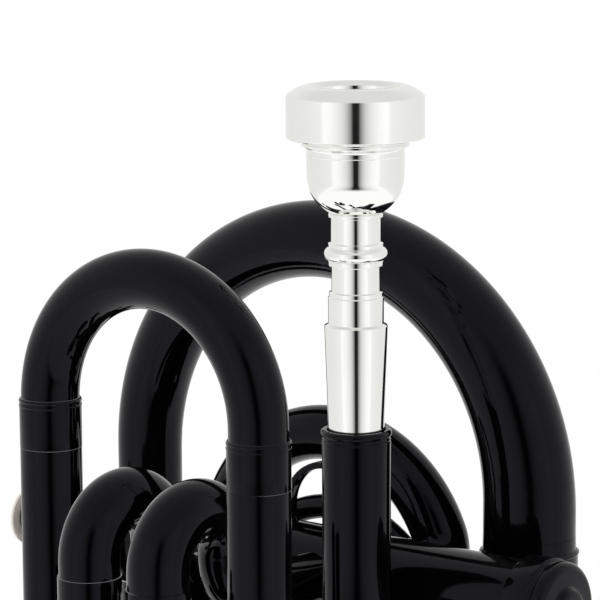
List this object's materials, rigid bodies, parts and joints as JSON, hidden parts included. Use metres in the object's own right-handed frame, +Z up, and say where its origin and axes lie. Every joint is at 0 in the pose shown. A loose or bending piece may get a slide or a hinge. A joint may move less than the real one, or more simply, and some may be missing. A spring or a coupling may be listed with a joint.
{
  "type": "pocket trumpet",
  "caption": "Compact wound trumpet in gloss black lacquer with piston valves, tuning and valve slides, water keys and a removable silver-plated mouthpiece.",
  "frame": {"origin": "middle of the footprint, on the surface that the bell rim stands on", "axes": "+Z up along the mouthpiece, +X from the finger buttons to the bottom caps, +Y from the tuning slide to the bell"},
  "size_m": [0.1704, 0.1342, 0.2647],
  "materials": {
    "black_lacquer": "gloss black lacquer on brass",
    "silver_plate": "polished silver plate",
    "pearl": "cream mother-of-pearl",
    "monel": "honed nickel alloy",
    "spring_steel": "drawn wire",
    "felt": "black felt"
  },
  "bodies": {
    "trumpet": {"mouthpiece_receiver": "black_lacquer", "leadpipe": "black_lacquer", "leadpipe_bow": "black_lacquer", "tuning_upper_sleeve": "black_lacquer", "tuning_lower_sleeve": "black_lacquer", "third_valve_entry_tube": "black_lacquer", "middle_bow": "black_lacquer", "front_bow": "black_lacquer", "big_bow": "black_lacquer", "bell": "black_lacquer", "first_valve_upper_crook": "black_lacquer", "first_valve_lower_crook": "black_lacquer", "second_valve_sleeve_1": "black_lacquer", "second_valve_sleeve_2": "black_lacquer", "third_valve_sleeve_1": "black_lacquer", "third_valve_sleeve_2": "black_lacquer", "thumb_ring": "black_lacquer", "pinky_ring": "black_lacquer", "leadpipe_brace": "black_lacquer", "leadpipe_valve_brace": "black_lacquer", "bow_brace": "black_lacquer", "bell_brace": "black_lacquer", "arch_rod": "black_lacquer", "valve_knuckle_1_2": "black_lacquer", "valve_knuckle_2_3": "black_lacquer", "valve_casing_1": "black_lacquer", "top_cap_1": "black_lacquer", "bottom_cap_1": "black_lacquer", "valve_spring_1": "spring_steel", "valve_casing_2": "black_lacquer", "top_cap_2": "black_lacquer", "bottom_cap_2": "black_lacquer", "valve_spring_2": "spring_steel", "valve_casing_3": "black_lacquer", "top_cap_3": "black_lacquer", "bottom_cap_3": "black_lacquer", "valve_spring_3": "spring_steel"},
    "mouthpiece": {"mouthpiece": "silver_plate"},
    "tuning_slide": {"tuning_slide_bow": "black_lacquer", "tuning_slide_upper_leg": "black_lacquer", "tuning_slide_lower_leg": "black_lacquer"},
    "first_valve_slide": {"first_valve_slide": "black_lacquer"},
    "second_valve_slide": {"second_valve_slide": "black_lacquer"},
    "third_valve_slide": {"third_valve_slide": "black_lacquer", "third_slide_ring": "black_lacquer"},
    "leadpipe_water_key": {"leadpipe_water_key": "silver_plate"},
    "third_slide_water_key": {"third_slide_water_key": "silver_plate"},
    "valve_1": {"piston_1": "monel", "finger_button_1": "black_lacquer", "button_pearl_1": "pearl", "button_felt_1": "felt"},
    "valve_2": {"piston_2": "monel", "finger_button_2": "black_lacquer", "button_pearl_2": "pearl", "button_felt_2": "felt"},
    "valve_3": {"piston_3": "monel", "finger_button_3": "black_lacquer", "button_pearl_3": "pearl", "button_felt_3": "felt"}
  },
  "joints": [
    {"name": "mouthpiece_pull", "type": "slide", "parent": "trumpet", "child": "mouthpiece", "axis": [0, 0, 1], "range_m": [0, 0.022]},
    {"name": "tuning_slide_pull", "type": "slide", "parent": "trumpet", "child": "tuning_slide", "axis": [0, 0, 1], "range_m": [0, 0.03]},
    {"name": "first_slide_pull", "type": "slide", "parent": "trumpet", "child": "first_valve_slide", "axis": [0, 0, -1], "range_m": [0, 0.015]},
    {"name": "second_slide_pull", "type": "slide", "parent": "trumpet", "child": "second_valve_slide", "axis": [0, 1, 0], "range_m": [0, 0.012]},
    {"name": "third_slide_pull", "type": "slide", "parent": "trumpet", "child": "third_valve_slide", "axis": [0, 0, -1], "range_m": [0, 0.02]},
    {"name": "valve_1_press", "type": "slide", "parent": "trumpet", "child": "valve_1", "axis": [1, 0, 0], "range_m": [0, 0.017], "stiffness_N_per_m": 80, "springref_m": -0.03, "deforming": ["valve_spring_1"]},
    {"name": "valve_2_press", "type": "slide", "parent": "trumpet", "child": "valve_2", "axis": [1, 0, 0], "range_m": [0, 0.017], "stiffness_N_per_m": 80, "springref_m": -0.03, "deforming": ["valve_spring_2"]},
    {"name": "valve_3_press", "type": "slide", "parent": "trumpet", "child": "valve_3", "axis": [1, 0, 0], "range_m": [0, 0.017], "stiffness_N_per_m": 80, "springref_m": -0.03, "deforming": ["valve_spring_3"]},
    {"name": "leadpipe_water_key_press", "type": "hinge", "parent": "trumpet", "child": "leadpipe_water_key", "pos_m": [0.03393, -0.0219, 0.083], "axis": [0, -1, 0], "range_deg": [0, 14], "stiffness_Nm_per_rad": 0.05, "springref_deg": -28.65},
    {"name": "third_slide_water_key_press", "type": "hinge", "parent": "third_valve_slide", "child": "third_slide_water_key", "pos_m": [0.00393, -0.0039, 0.065], "axis": [0, -1, 0], "range_deg": [0, 14], "stiffness_Nm_per_rad": 0.05, "springref_deg": -28.65}
  ]
}
